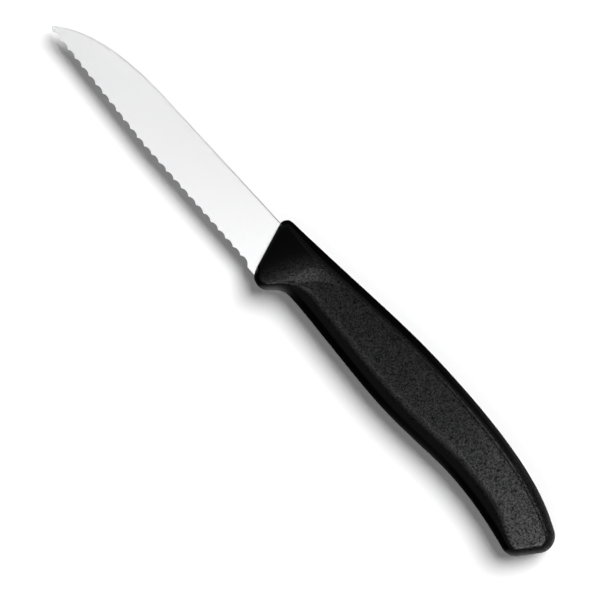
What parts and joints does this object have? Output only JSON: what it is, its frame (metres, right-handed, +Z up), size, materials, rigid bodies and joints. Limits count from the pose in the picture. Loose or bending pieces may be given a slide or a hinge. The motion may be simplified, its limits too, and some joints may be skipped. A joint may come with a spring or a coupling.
{
  "type": "serrated paring knife",
  "caption": "Small kitchen knife: a straight tapered steel blade with a scalloped edge, its tang locked in a sculpted dark plastic handle with a finger guard and a drooping butt.",
  "frame": {"origin": "on the surface that the knife lies on, under the middle of its outline", "axes": "+X runs from the point of the blade to the butt, +Y from the edge to the spine, +Z up and square to the blade's face"},
  "size_m": [0.1924, 0.0218, 0.013],
  "materials": {
    "ground_steel": "satin",
    "grained_plastic": "fine moulded grain"
  },
  "bodies": {
    "root": {"blade": "ground_steel", "handle": "grained_plastic"}
  },
  "joints": []
}
